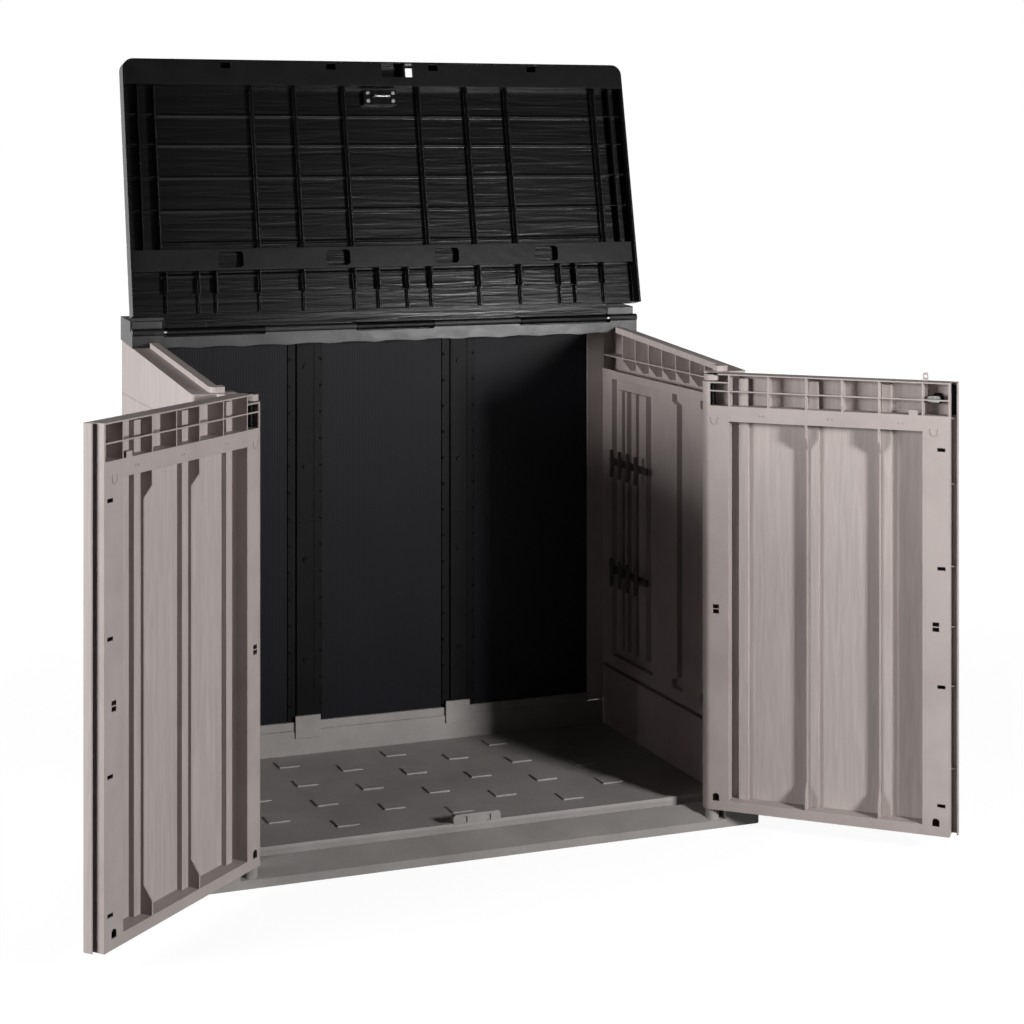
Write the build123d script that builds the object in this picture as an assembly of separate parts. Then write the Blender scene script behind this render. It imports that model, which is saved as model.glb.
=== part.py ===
"""Resin storage shed with a lift-up lid and two front doors, as separate moulded pieces.

Millimetres. Origin: centre of the base underside. +X right, +Y to the back, +Z up.
The rest pose has the lid and both doors open.
"""
import os
from math import radians, tan

from build123d import *

# Base
BASE_WIDTH = 1290.0
BASE_DEPTH = 750.0
BASE_CORNER_R = 12.0
FLOOR_TOP = 42.0
FLOOR_SKIN = 4.0
RAMP_HALF = 557.0
RAMP_LIP = 17.0
RAMP_TOP = 36.0
RAMP_RUN = 75.0
CHANNEL_WIDTH = 19.0
CHANNEL_DROP = 6.0
CHANNEL_SLOTS_X = (-395.0, -259.0, -68.0, 84.0, 259.0, 395.0)
CHANNEL_SLOT = 5.0
RAMP_SKIN = 5.0
SILL_RIB_WIDTH = 17.0
SILL_RIB_RISE = 6.0
REAR_SILL_FRONT = 335.0
REAR_SILL_TOP = 100.0
SHEET_RAIL_TOP = 120.0
SHEET_RAIL_SETBACK = 3.0
SHEET_GROOVE_DEPTH = 15.0
FOOT_TAB_WIDTH = 63.0
FOOT_TAB_TOP = 136.0
FOOT_TAB_DEPTH = 6.5
PAD_PITCH_X = 133.5
PAD_PITCH_Y = 148.0
PAD_WIDTH = 50.0
PAD_DEPTH = 46.0
PAD_RISE = 3.0
PAD_BACK_ROW_Y = 267.0
POCKETS_X = 6
POCKETS_Y = 3
POCKET_RIB = 5.0
SILL_SKIN = 3.5
KEEPER_HALF = 55.0
KEEPER_TOP = 66.0
KEEPER_DEPTH = 14.0
KEEPER_SLOT = 9.0
KEEPER_SLOT_DEPTH = 3.0

# Back wall
SHEET_FRONT = 346.0
SHEET_THICK = 4.0
SHEET_PLAY = 0.25
POST_X = 199.5
POST_HALF = 23.0
POST_CROWN = 8.0
POST_FLANGE = 20.0
POST_FLANGE_THICK = 3.0
POST_WEB = 4.0
POST_SEAM_Z = 603.0
POST_TICK_PITCH = 64.4
TICK_RISE = 1.5
TICK_HEIGHT = 9.0
SCREW_Z = (268.0, 512.0, 736.0, 980.0)
SCREW_HEAD_R = 6.0
SCREW_HEAD = 3.0
SCREW_SHANK_R = 2.5
SCREW_SHANK = 7.0

# Side walls
WALL_X = 643.5
WALL_SKIN = 3.0
WALL_BACK = 372.0
WALL_CORNER_R = 8.0
STILE_INNER_X = 549.0
STILE_FRONT = -333.0
STILE_STEP_Z = 965.0
STILE_TOP_FRONT = -314.0
STILE_BACK = -290.0
WALL_TOP_FRONT = 1005.3
WALL_TOP_SLOPE = 4.29
PANEL_X = 597.0
PANEL_SKIN = 3.0
SKIRT_TOP = 189.0
SKIRT_PROUD = 3.0
SKIRT_GROOVE = 9.0
SKIRT_GROOVE_DEPTH = 10.0
RAIL_TOP = 946.0
RAIL_HEIGHT = 20.0
RAIL_PROUD = 6.0
RAIL_BACK_Y = 278.0
RIM_INNER_X = 585.0
RIM_OUTER_X = 604.0
RIM_RISE = 12.0
RIM_DROP = 2.5
RIM_CORNER_R = 14.0
RIM_FRONT_END_X = 572.0
GUSSET_Y = (-262.0, -190.0, -118.0, -46.0, 26.0, 98.0, 170.0, 242.0)
GUSSET_THICK = 3.0
GUSSET_ROOT = 15.0
SHELF_RIB_Z = 978.0
WALL_PLANK_Y = (-152.0, 4.0, 166.0, 325.0)
WALL_GROOVE_Z = 932.0
GROOVE_WIDTH = 5.0
GROOVE_DEPTH = 1.8
PANEL_CHANNELS = ((-94.0, -65.0), (-236.0, -207.0))
RACK_CHANNELS = ((63.0, 98.0), (136.0, 153.0), (178.0, 203.0), (214.0, 231.0), (254.0, 289.0))
CHANNEL_DEPTH = 14.0
CHANNEL_FOOT = 226.0
CHANNEL_HEAD = 924.0
CHANNEL_FLARE = 25.0
CHANNEL_FLARE_RISE = 18.0
CHANNEL_FLARE_SLANT = 8.0
CORNER_STRIP_X = 553.0

# Tool racks on the right wall
RACK_Z = (437.0, 710.0)
RACK_BACK_Y = 265.0
RACK_LENGTH = 180.0
RACK_BAR = 9.0
RACK_BAR_HEIGHT = 16.0
RACK_HOOKS = 4
HOOK_REACH = 18.0
HOOK_TIP = 34.0
HOOK_THICK = 6.0
HOOK_WIDTH = 9.0

# Hinge beam
BEAM_HALF = 571.0
BEAM_SKIN = 4.0
BEAM_FRONT = 246.0
BEAM_STEP_Z = 1084.0
BEAM_STEP_DEPTH = 22.0
BEAM_TOP_FRONT = 1108.0
BEAM_TOP_BACK = 1112.0
BEAM_BAR_HEIGHT = 24.0
BEAM_SEAT = 0.2
BEAM_CAP = 74.0
CAP_BLOCK_FRONT = 260.0
CAP_BLOCK_TOP = 1107.0
CAP_BLOCK_INSET = 4.0
SCALLOP_PITCH = 108.0
SCALLOP_RISE = 3.0
SCALLOP_COUNT = 11
SKIRT_DROP = 4.0

# Lid
LID_WIDTH = 1295.0
LID_LENGTH = 610.0
LID_DEPTH = 38.0
LID_SKIN = 4.0
LID_CORNER_R = 26.0
LID_LEAN = 11.4
HINGE_Y = 251.3
HINGE_Z = 1082.0
HINGE_BEHIND = 35.0
HINGE_UP = 33.6
HINGE_ROD_R = 4.0
HINGE_ROD_GRIP = 30.0
KNUCKLE_R = 9.0
KNUCKLE_GAP = 2.0
LUG_END_GAP = 10.0
OUTER_LUG_START = 329.0
MIDDLE_LUG_HALF = 97.0
LUG_SIDE_GAP = 3.0
LUG_CLIPS_X = (-459.0, 0.0, 459.0)
LUG_CLIP = (18.0, 10.0, 3.0)
LUG_CLIP_BEHIND = 19.0
LID_PLANK_LINES = (479.0, 407.0, 329.0, 249.0, 172.0, 95.0)
PLANK_GROOVE_WIDTH = 9.0
PLANK_GROOVE_DEPTH = 2.5
LID_RIB = 3.0
LID_RIBS_MAIN = (97.0, 223.0, 331.0)
LID_RIBS_SIDE = (571.0, 612.0)
LID_RIBS_REAR = (37.0, 98.0, 225.0, 334.0, 440.0, 482.0, 560.0)
LID_RIB_CLEAR = 12.0
LID_SIDE_RIB_CLEAR = 9.0
LID_REAR_CLEAR = 15.0
LID_REAR_STEP = 50.0
LID_STEP_CLEAR = 22.0
LID_STEP_RIB_CLEAR = 28.0
LID_CROSS_RIBS = (479.0, 407.0, 328.0, 249.0)
LID_CROSS_CLEAR = 17.0
FRONT_RAIL_WIDTH = 57.0
FRONT_RAIL_SKIN = 3.5
RAIL_SLOTS_X = (-397.5, -133.0, 133.0, 397.5)
RAIL_SLOT = (25.0, 14.0)
RAIL_SLOT_ALONG = 596.0
NOTCH_SPAN = (-71.5, 10.5)
NOTCH_ALONG = (572.0, 606.0)
NOTCH_WALL = -13.0
SLIT_SPAN = (-7.5, 21.5)
SLIT_ALONG = (576.0, 603.0)
REAR_RAIL_ALONG = (104.0, 155.0)
REAR_RAIL_CLEAR = 13.0
REAR_RAIL_SKIN = 3.5
WINDOW_X = (-405.0, -140.0, 140.0, 405.0)
WINDOW_SIZE = (62.0, 37.0)
WINDOW_CORNER = 6.0
HASP_X = (-46.0, 37.0)
HASP_ALONG = (507.0, 543.0)
HASP_PLATE = 2.0
HASP_BOSS = 14.0
HASP_BOLT_R = 4.5
HASP_BOLT_HEAD = 3.0
HASP_BAR_R = 3.0
HASP_BAR_RISE = 16.0
HASP_BAR_SPAN = 34.0

# Doors, drawn closed and then swung open
DOOR_OPEN = 138.5
PIVOT_X = 532.0
PIVOT_Y = -358.0
DOOR_THICK = 41.0
DOOR_FOOT = 44.0
DOOR_TOP = 1010.0
DOOR_SKIN = 4.0
EDGE_OFFSET = 18.0
FRAME_WIDTH = 536.0
SKIN_LAP = 15.0
SKIN_LAP_LEFT = 10.0
SKIN_LIP = 3.0
SKIN_LIP_DEPTH = 20.0
LIP_RIB = 2.5
LIP_RIB_DEPTH = 12.0
LIP_RIBS_Z = (184.0, 360.0, 487.0, 616.0, 792.0, 932.0)
LIP_RIB_PITCH_LEFT = 65.0
PLANK_PITCH = 21.5
DOOR_GROOVE = 5.0
DOOR_GROOVE_DEPTH = 1.5
HUMPS = (77.0, 232.3, 389.3)
HUMP_WIDTH = 21.5
HUMP_HEIGHT = 11.5
HUMP_WALL = 2.5
HUMP_TOP = 999.0
HUMP_PLAY = 0.3
DOOR_WALL = 3.0
DOOR_FACE = 4.0
HINGE_STILE = 60.0
FREE_STILE = 57.0
BAND_Z = 936.0
BAND_RIB_Z = 972.0
BAND_CELLS = (147.0, 230.0, 308.0, 387.0)
BAND_STOP = (67.0, 86.0)
BAND_STOP_RISE = 11.0
BAND_STOP_DEPTH = 12.0
WINDOW_FOOT = 66.0
WINDOW_HEAD = 905.0
FINS = (228.0, 385.0)
FIN_THICK = 4.0
FIN_END = 28.0
FIN_SLANT = 26.0
FIN_LOW = 18.0
LATCH_HINGE_SIDE = 31.0
LATCH_FREE_SIDE = 29.0
LATCH_Z = 489.0
LATCH_HOLE = (14.0, 20.0)
LATCH_BAR = 2.0
ARCH_Z = 64.0
ARCH_HOLE = (15.0, 17.0)
ARCH_CORNER = 4.0
EDGE_SLOT = (9.0, 26.0)
EDGE_SLOT_HEIGHT = 7.5
EDGE_SLOTS_Z = (109.0, 362.0, 614.0, 867.0)
DOOR_STEP = 18.0
DOOR_STEP_Z = 992.0
PIN_R = 7.5
PIN_PLAY = 0.05
PIN_GRIP = 32.0
PIN_END_GAP = 0.6
BARREL_BOSS_R = 11.5
SOCKET_R = 15.0
SOCKET_GAP = 1.5
BRACKET_R = 17.0
BRACKET_GAP = 2.0
BRACKET_TOP = 1007.0
BRACKET_ROOT_X = (553.0, 592.0)
PIN_HEAD_R = 10.0
PIN_HEAD = 2.0

# Lock parts on the right door
TONGUE_EDGE = 54.5
TONGUE_WIDTH = 11.0
TONGUE_THICK = 5.0
TONGUE_FOOT = 958.0
TONGUE_TOP = 1027.0
TONGUE_HOLE_R = 3.5
TONGUE_PLAY = 0.5
LOCK_EDGE = 28.0
LOCK_Z = 973.0
LOCK_R = 9.5
LOCK_PLAY = 0.4
LOCK_REACH = 20.0
LOCK_FACE_R = 13.0
LOCK_FACE = 2.5
LOCK_NUT = 4.0
KEY_SLOT = (2.0, 10.0)
CAM_LENGTH = 21.0
CAM_WIDTH = 12.0
CAM_THICK = 3.0
CAM_SHAFT_R = 3.0
CAM_PLAY = 0.05
CAM_SHAFT = 9.0
CAM_NUT_R = 4.5
CATCH_FOOT = 940.0
CATCH_HEAD = 1004.0
CATCH_WIDTH = 9.5
CATCH_DEPTH = 9.0
CATCH_HOLES = 5
CATCH_HOLE_R = 3.4
CATCH_NICK_R = 2.2
CATCH_GAP = 1.5

PART_DIR = "parts"
os.makedirs(PART_DIR, exist_ok=True)


def block(x0, x1, y0, y1, z0, z1):
    """Box between two corners."""
    middle = Pos((x0 + x1) / 2, (y0 + y1) / 2, (z0 + z1) / 2)
    return middle * Box(abs(x1 - x0), abs(y1 - y0), abs(z1 - z0))


def along_x(points, x0, x1):
    """Outline in (y, z) drawn out from x0 to x1."""
    face = Plane.YZ * Polygon(*points, align=None)
    return Pos(x0, 0, 0) * extrude(face, x1 - x0, dir=(1, 0, 0))


def along_y(points, y0, y1):
    """Outline in (x, z) drawn out from y0 to y1."""
    face = Plane.XZ * Polygon(*points, align=None)
    return Pos(0, y0, 0) * extrude(face, y1 - y0, dir=(0, 1, 0))


def along_z(points, z0, z1):
    """Outline in (x, y) drawn out from z0 to z1."""
    face = Polygon(*points, align=None)
    return Pos(0, 0, z0) * extrude(face, z1 - z0, dir=(0, 0, 1))


def bar_x(radius, x0, x1, y, z):
    """Round bar along X."""
    return Pos((x0 + x1) / 2, y, z) * Rot(0, 90, 0) * Cylinder(radius, x1 - x0)


def bar_y(radius, x, y0, y1, z):
    """Round bar along Y."""
    return Pos(x, (y0 + y1) / 2, z) * Rot(90, 0, 0) * Cylinder(radius, y1 - y0)


def bar_z(radius, x, y, z0, z1):
    """Round bar along Z."""
    return Pos(x, y, (z0 + z1) / 2) * Cylinder(radius, z1 - z0)


def prism_y(radius, sides, x, y0, y1, z):
    """Bar along Y with flat sides."""
    face = Plane.XZ * RegularPolygon(radius, sides)
    return Pos(x, y0, z) * extrude(face, y1 - y0, dir=(0, 1, 0))


def prism_x(radius, sides, x0, x1, y, z):
    """Bar along X with flat sides."""
    face = Plane.YZ * RegularPolygon(radius, sides)
    return Pos(x0, y, z) * extrude(face, x1 - x0, dir=(1, 0, 0))


def prism_z(radius, sides, x, y, z0, z1):
    """Bar along Z with flat sides."""
    return Pos(x, y, z0) * extrude(RegularPolygon(radius, sides), z1 - z0)


def clip_tick(x0, x1, y, z):
    """Small wedge that stands off a face towards the front."""
    foot = z - TICK_HEIGHT / 2
    head = z + TICK_HEIGHT / 2
    return along_x([(y + 0.5, foot), (y - TICK_RISE, head), (y + 0.5, head)], x0, x1)


def flip(shape):
    """Mirror image for the left side."""
    return mirror(shape, about=Plane.YZ)


def save(name, shape):
    """Write one piece."""
    export_step(shape, PART_DIR + "/" + name + ".step")


def wall_top(y):
    """Height of the sloping wall top at a distance back."""
    return WALL_TOP_FRONT + (y - STILE_TOP_FRONT) * tan(radians(WALL_TOP_SLOPE))


# Base: one ribbed moulding with tread pads, entry ramp, sills and pivot sockets
base_front = -BASE_DEPTH / 2
base_back = BASE_DEPTH / 2
channel_front = base_front + RAMP_RUN
channel_back = channel_front + CHANNEL_WIDTH
rib_back = channel_back + SILL_RIB_WIDTH
sill_half = PANEL_X - SKIRT_PROUD - 0.5
post_front = SHEET_FRONT - POST_CROWN
socket_top = DOOR_FOOT - SOCKET_GAP

floor_panel = extrude(RectangleRounded(BASE_WIDTH, BASE_DEPTH, BASE_CORNER_R), FLOOR_TOP)
entry = [
    (base_front - 1, RAMP_LIP),
    (channel_front, RAMP_TOP),
    (channel_front, RAMP_TOP - CHANNEL_DROP),
    (channel_back, RAMP_TOP - CHANNEL_DROP),
    (channel_back, FLOOR_TOP + 1),
    (base_front - 1, FLOOR_TOP + 1),
]
floor_panel -= along_x(entry, -RAMP_HALF, RAMP_HALF)
for x in CHANNEL_SLOTS_X:
    half = CHANNEL_SLOT / 2
    floor_panel -= block(x - half, x + half, channel_front, channel_back, -1, RAMP_TOP)
pocket_span_x = BASE_WIDTH - 4 * POCKET_RIB
pocket_front = rib_back + 4
pocket_span_y = base_back - 2 * POCKET_RIB - pocket_front
cell_x = pocket_span_x / POCKETS_X
cell_y = pocket_span_y / POCKETS_Y
pocket_lefts = [-pocket_span_x / 2 + i * cell_x + POCKET_RIB / 2 for i in range(POCKETS_X)]
ramp_near = base_front + 2 * POCKET_RIB
ramp_roof = RAMP_TOP - CHANNEL_DROP - RAMP_SKIN
ramp_pocket = [
    (ramp_near, -1),
    (ramp_near, RAMP_LIP - RAMP_SKIN),
    (channel_front, ramp_roof),
    (pocket_front - POCKET_RIB / 2, ramp_roof),
    (pocket_front - POCKET_RIB / 2, -1),
]
for left in pocket_lefts:
    floor_panel -= along_x(ramp_pocket, left, left + cell_x - POCKET_RIB)
sill_rib = [
    (channel_back, FLOOR_TOP - 1),
    (channel_back + 2, FLOOR_TOP + SILL_RIB_RISE),
    (rib_back - 4, FLOOR_TOP + SILL_RIB_RISE),
    (rib_back, FLOOR_TOP - 1),
]
floor_panel += along_x(sill_rib, -STILE_INNER_X + 1, STILE_INNER_X - 1)
rear_sill = [
    (REAR_SILL_FRONT, FLOOR_TOP - 1),
    (REAR_SILL_FRONT, REAR_SILL_TOP),
    (REAR_SILL_FRONT + SHEET_RAIL_SETBACK, REAR_SILL_TOP),
    (REAR_SILL_FRONT + SHEET_RAIL_SETBACK, SHEET_RAIL_TOP),
    (base_back - 8, SHEET_RAIL_TOP),
    (base_back - 8, FLOOR_TOP - 1),
]
floor_panel += along_x(rear_sill, -CORNER_STRIP_X + 1, CORNER_STRIP_X - 1)
low_sill = block(-sill_half, sill_half, REAR_SILL_FRONT, SHEET_FRONT - 8, FLOOR_TOP - 1, REAR_SILL_TOP)
floor_panel += low_sill
for side in (-1, 1):
    tab_mid = side * (POST_X - 5)
    tab_back = post_front - 0.5
    floor_panel += block(
        tab_mid - FOOT_TAB_WIDTH / 2,
        tab_mid + FOOT_TAB_WIDTH / 2,
        tab_back - FOOT_TAB_DEPTH,
        tab_back,
        FLOOR_TOP + 40,
        FOOT_TAB_TOP,
    )
    floor_panel += prism_z(SOCKET_R, 16, side * PIVOT_X, PIVOT_Y, 1, socket_top)
    floor_panel -= bar_z(PIN_R + PIN_PLAY, side * PIVOT_X, PIVOT_Y, socket_top - PIN_GRIP, socket_top + 1)
groove_floor = SHEET_RAIL_TOP - SHEET_GROOVE_DEPTH
floor_panel -= block(
    -sill_half,
    sill_half,
    SHEET_FRONT - SHEET_PLAY,
    SHEET_FRONT + SHEET_THICK + SHEET_PLAY,
    groove_floor,
    SHEET_RAIL_TOP + 1,
)
for column in range(-3, 4):
    rows = 4 if column % 2 == 0 else 3
    first = PAD_BACK_ROW_Y if column % 2 == 0 else PAD_BACK_ROW_Y - PAD_PITCH_Y / 2
    for row in range(rows):
        pad = Rectangle(PAD_WIDTH, PAD_DEPTH)
        place = Pos(column * PAD_PITCH_X, first - row * PAD_PITCH_Y, FLOOR_TOP)
        floor_panel += place * extrude(pad, PAD_RISE, taper=12)
keeper = RectangleRounded(2 * KEEPER_HALF, 2 * (KEEPER_TOP - FLOOR_TOP), 8)
keeper = Pos(0, channel_back + 1, FLOOR_TOP) * extrude(Plane.XZ * keeper, KEEPER_DEPTH, dir=(0, 1, 0))
keeper &= block(-KEEPER_HALF, KEEPER_HALF, channel_back, rib_back + 20, FLOOR_TOP - 1, KEEPER_TOP)
for side in (-1, 1):
    slot_x = side * KEEPER_HALF / 2
    keeper -= block(
        slot_x - KEEPER_SLOT / 2,
        slot_x + KEEPER_SLOT / 2,
        channel_back,
        channel_back + 1 + KEEPER_SLOT_DEPTH,
        FLOOR_TOP + SILL_RIB_RISE,
        KEEPER_TOP - 5,
    )
floor_panel += keeper
pocket_roof = FLOOR_TOP - FLOOR_SKIN
for left in pocket_lefts:
    for j in range(POCKETS_Y):
        near = pocket_front + j * cell_y + POCKET_RIB / 2
        right = left + cell_x - POCKET_RIB
        floor_panel -= block(left, right, near, near + cell_y - POCKET_RIB, -1, pocket_roof)
floor_panel -= block(
    -CORNER_STRIP_X + SILL_SKIN,
    CORNER_STRIP_X - SILL_SKIN,
    REAR_SILL_FRONT + SILL_SKIN,
    base_back - 8 - SILL_SKIN,
    pocket_roof - 1,
    groove_floor - SILL_SKIN,
)
save("floor_panel", floor_panel)

# Back wall: three ribbed sheets held at their edges by two-piece posts
sheet_foot = groove_floor
sheet_back = SHEET_FRONT + SHEET_THICK
sheet_top = wall_top(WALL_BACK) + 6
web_half = POST_WEB / 2 + SHEET_PLAY
channel_stop = PANEL_X - 1


def back_sheet(x0, x1):
    """Sheet standing in the rear sill's groove."""
    return block(x0, x1, SHEET_FRONT, sheet_back, sheet_foot, sheet_top)


save("back_sheet_left", back_sheet(-channel_stop, -POST_X - web_half))
save("back_sheet_middle", back_sheet(-POST_X + web_half, POST_X - web_half))
save("back_sheet_right", back_sheet(POST_X + web_half, channel_stop))

flange_out = POST_HALF + POST_FLANGE
flange_front = SHEET_FRONT - POST_FLANGE_THICK
half_section = [
    (0, post_front),
    (POST_HALF - 2, post_front),
    (POST_HALF, post_front + 2),
    (POST_HALF, flange_front),
    (flange_out, flange_front),
    (flange_out, SHEET_FRONT - SHEET_PLAY),
    (POST_WEB / 2, SHEET_FRONT - SHEET_PLAY),
    (POST_WEB / 2, sheet_back + SHEET_PLAY),
    (flange_out - 4, sheet_back + SHEET_PLAY),
    (flange_out - 4, sheet_back + POST_FLANGE_THICK),
    (0, sheet_back + POST_FLANGE_THICK),
]
post_section = half_section + [(-x, y) for x, y in reversed(half_section[1:-1])]


def post_piece(z0, z1):
    """Length of back post with clip ticks on its flanges and screw holes in its crown."""
    piece = along_z(post_section, z0, z1)
    ticks = int(sheet_top / POST_TICK_PITCH)
    for k in range(ticks):
        z = SHEET_RAIL_TOP + (k + 0.6) * POST_TICK_PITCH
        if z0 + 6 < z < z1 - 6:
            for side in (-1, 1):
                x = side * (flange_out - 3)
                piece += clip_tick(x - 3, x + 3, flange_front, z)
    for z in SCREW_Z:
        if z0 < z < z1:
            piece -= prism_y(SCREW_SHANK_R + 0.3, 6, 0, post_front - 1, post_front + SCREW_SHANK + 0.3, z)
    return piece


post_lower = post_piece(SHEET_RAIL_TOP, POST_SEAM_Z)
post_upper = post_piece(POST_SEAM_Z, sheet_top)
save("back_post_left_lower", Pos(-POST_X, 0, 0) * post_lower)
save("back_post_left_upper", Pos(-POST_X, 0, 0) * post_upper)
save("back_post_right_lower", Pos(POST_X, 0, 0) * post_lower)
save("back_post_right_upper", Pos(POST_X, 0, 0) * post_upper)

screw = prism_y(SCREW_HEAD_R, 8, 0, -SCREW_HEAD, 0, 0)
screw += prism_y(SCREW_SHANK_R, 6, 0, -1, SCREW_SHANK, 0)
screws = [Pos(side * POST_X, post_front, z) * screw for side in (-1, 1) for z in SCREW_Z]
save("post_screws", Compound(children=screws))

# Side walls: an outer shell with the front stile, and an inner panel that snaps into it
shell_x = PANEL_X + PANEL_SKIN
profile = [
    (STILE_FRONT, FLOOR_TOP),
    (STILE_FRONT, STILE_STEP_Z),
    (STILE_TOP_FRONT, STILE_STEP_Z),
    (STILE_TOP_FRONT, WALL_TOP_FRONT),
    (WALL_BACK, wall_top(WALL_BACK)),
    (WALL_BACK, FLOOR_TOP),
]
hollow = [
    (STILE_FRONT + WALL_SKIN, FLOOR_TOP + WALL_SKIN),
    (STILE_FRONT + WALL_SKIN, STILE_STEP_Z - WALL_SKIN),
    (STILE_TOP_FRONT + WALL_SKIN, STILE_STEP_Z - WALL_SKIN),
    (STILE_TOP_FRONT + WALL_SKIN, WALL_TOP_FRONT - WALL_SKIN),
    (WALL_BACK - WALL_SKIN, wall_top(WALL_BACK - WALL_SKIN) - WALL_SKIN),
    (WALL_BACK - WALL_SKIN, FLOOR_TOP + WALL_SKIN),
]
stile_cut = block(STILE_INNER_X - 1, shell_x, STILE_BACK, WALL_BACK + 1, 0, wall_top(WALL_BACK) + 1)
wall_shell = along_x(profile, STILE_INNER_X, WALL_X) - stile_cut
outer_edges = wall_shell.edges().filter_by(Axis.Z).sort_by(Axis.X)[-3:]
wall_shell = fillet(outer_edges, WALL_CORNER_R)
inside = along_x(hollow, STILE_INNER_X + WALL_SKIN, WALL_X - WALL_SKIN)
inside -= block(STILE_INNER_X, shell_x, STILE_BACK + 1, WALL_BACK, 0, wall_top(WALL_BACK) + 1)
wall_shell -= inside
groove_half = GROOVE_WIDTH / 2 + 1
for y in WALL_PLANK_Y:
    vee = [(WALL_X + 1, y - groove_half), (WALL_X - GROOVE_DEPTH, y), (WALL_X + 1, y + groove_half)]
    wall_shell -= along_z(vee, FLOOR_TOP + 20, WALL_GROOVE_Z)
vee = [
    (WALL_X + 1, WALL_GROOVE_Z - groove_half),
    (WALL_X - GROOVE_DEPTH, WALL_GROOVE_Z),
    (WALL_X + 1, WALL_GROOVE_Z + groove_half),
]
wall_shell -= along_y(vee, STILE_FRONT + 30, WALL_BACK - 12)
rim_front = STILE_TOP_FRONT + 6
rim_back = BEAM_FRONT - 3
rim_side = [
    (rim_front, wall_top(rim_front) - RIM_DROP),
    (rim_front, wall_top(rim_front) + RIM_RISE),
    (rim_back, wall_top(rim_back) + RIM_RISE),
    (rim_back, wall_top(rim_back) - RIM_DROP),
]
rim = along_x(rim_side, RIM_FRONT_END_X, RIM_OUTER_X)
rim_corner = rim.edges().filter_by(Axis.Z).group_by(Axis.Y)[0].sort_by(Axis.X)[-1]
rim = fillet(rim_corner, RIM_CORNER_R)
rim_well = STILE_BACK + WALL_SKIN
rim -= block(RIM_FRONT_END_X - 1, RIM_INNER_X, rim_well, WALL_BACK, 0, wall_top(WALL_BACK) + RIM_RISE)
rim_hollow = [
    (rim_well + 6, wall_top(rim_well) - RIM_DROP - 5),
    (rim_well + 6, wall_top(rim_well + 6) + RIM_RISE - 3),
    (rim_back - 3, wall_top(rim_back - 3) + RIM_RISE - 3),
    (rim_back - 3, wall_top(rim_back - 3) - RIM_DROP - 5),
]
rim -= along_x(rim_hollow, RIM_INNER_X + 3, RIM_OUTER_X - 3)
wall_shell += rim
for y in GUSSET_Y:
    head = wall_top(y) - WALL_SKIN + 1
    gusset = [
        (WALL_X - WALL_SKIN + 1, RAIL_TOP + 2),
        (WALL_X - WALL_SKIN + 1, head),
        (RIM_OUTER_X - 1, head),
        (RIM_OUTER_X - 1, RAIL_TOP + 30),
        (WALL_X - WALL_SKIN - GUSSET_ROOT, RAIL_TOP + 2),
    ]
    wall_shell += along_y(gusset, y - GUSSET_THICK / 2, y + GUSSET_THICK / 2)
wall_shell += block(
    RIM_OUTER_X - 1,
    WALL_X - WALL_SKIN + 1,
    STILE_BACK,
    WALL_BACK - WALL_SKIN + 1,
    SHELF_RIB_Z,
    SHELF_RIB_Z + GUSSET_THICK,
)
bracket_foot = DOOR_STEP_Z + BRACKET_GAP
root_back = STILE_TOP_FRONT + 1
arm_left = [(PIVOT_X - BRACKET_R * 0.75, PIVOT_Y + BRACKET_R * 0.66), (BRACKET_ROOT_X[0], root_back)]
arm_right = [(BRACKET_ROOT_X[1], root_back), (PIVOT_X + BRACKET_R * 0.66, PIVOT_Y - BRACKET_R * 0.75)]
bracket = along_z(arm_left + arm_right, bracket_foot, WALL_TOP_FRONT - 1)
bracket += bar_z(BRACKET_R, PIVOT_X, PIVOT_Y, bracket_foot, BRACKET_TOP)
bracket -= bar_z(PIN_R + PIN_PLAY, PIVOT_X, PIVOT_Y, bracket_foot - 1, BRACKET_TOP + 1)
wall_shell += bracket
save("wall_right_shell", wall_shell)
save("wall_left_shell", flip(wall_shell))

wall_panel = block(PANEL_X, shell_x, STILE_BACK, SHEET_FRONT + SHEET_THICK + 4, FLOOR_TOP, RAIL_TOP)
wall_panel += block(STILE_INNER_X, shell_x, STILE_BACK, STILE_BACK + PANEL_SKIN, FLOOR_TOP, STILE_STEP_Z)
inner_back = REAR_SILL_FRONT - 0.5
wall_panel += block(PANEL_X - SKIRT_PROUD, shell_x, STILE_BACK, inner_back, FLOOR_TOP, SKIRT_TOP)
groove_back = PANEL_X + SKIRT_GROOVE_DEPTH
groove_head = SKIRT_TOP + SKIRT_GROOVE
wall_panel += block(
    shell_x - 1,
    groove_back + PANEL_SKIN,
    STILE_BACK,
    inner_back + PANEL_SKIN,
    SKIRT_TOP - PANEL_SKIN,
    groove_head + PANEL_SKIN,
)
groove_front = PANEL_X - SKIRT_PROUD - 1
wall_panel -= block(groove_front, groove_back, STILE_BACK + PANEL_SKIN, inner_back, SKIRT_TOP, groove_head)
rail_front = STILE_BACK + PANEL_SKIN
wall_panel += block(PANEL_X - RAIL_PROUD, shell_x, rail_front, RAIL_BACK_Y, RAIL_TOP - RAIL_HEIGHT, RAIL_TOP)
trough_back = PANEL_X + CHANNEL_DEPTH


def trough_backing(y0, y1):
    """Box behind the panel that closes a trough."""
    return block(
        shell_x - 1,
        trough_back + PANEL_SKIN,
        y0 - PANEL_SKIN,
        y1 + PANEL_SKIN,
        CHANNEL_FOOT - PANEL_SKIN,
        CHANNEL_HEAD + PANEL_SKIN,
    )


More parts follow.
